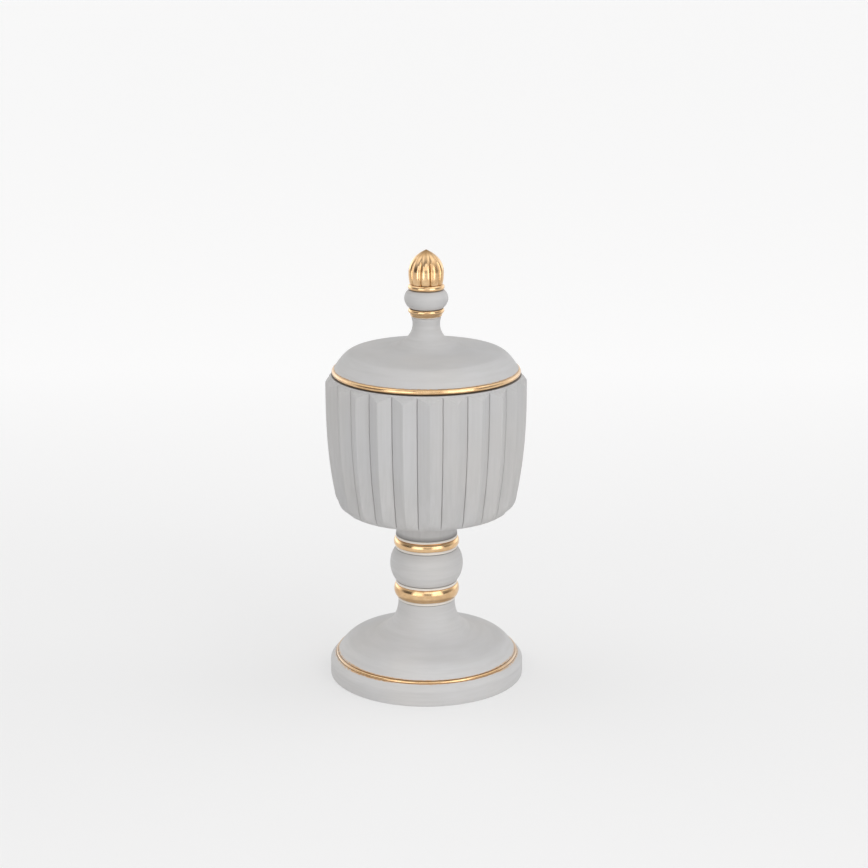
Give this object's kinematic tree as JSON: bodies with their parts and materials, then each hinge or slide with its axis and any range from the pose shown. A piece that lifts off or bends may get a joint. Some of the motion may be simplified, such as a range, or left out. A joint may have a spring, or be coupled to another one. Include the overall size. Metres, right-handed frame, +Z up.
{
  "type": "lidded pedestal jar",
  "caption": "Lidded pedestal jar in matt grey ceramic with a pleated bowl, gilt collars, a domed foot and a lift-off lid topped by a lobed acorn finial.",
  "frame": {"origin": "centre of the circle on which the foot stands", "axes": "+Z up the jar's axis towards the finial, -Y towards the viewer of the picture"},
  "size_m": [0.1742, 0.1742, 0.38],
  "materials": {
    "grey_ceramic": "matt grey glaze with soft streaks",
    "gilt": "polished gilt",
    "steel": "zinc plated",
    "rubber": "matt"
  },
  "bodies": {
    "jar": {"foot": "grey_ceramic", "foot_bead": "gilt", "lower_collar": "gilt", "stem_knop": "grey_ceramic", "upper_collar": "gilt", "bowl": "grey_ceramic", "tie_rod": "steel", "bowl_gasket": "rubber", "bowl_washer": "steel", "bowl_cap_nut": "steel", "foot_gasket": "rubber", "foot_washer": "steel", "foot_nut": "steel"},
    "lid": {"lid": "grey_ceramic", "lid_bead": "gilt", "finial_collar": "gilt", "finial_knop": "grey_ceramic", "finial_cup": "gilt", "finial_acorn": "gilt", "finial_stud": "steel", "finial_gasket": "rubber", "finial_washer": "steel", "finial_nut": "steel"}
  },
  "joints": [
    {"name": "lid_lift", "type": "slide", "parent": "jar", "child": "lid", "axis": [0, 0, 1], "range_m": [0, 0.12]}
  ]
}
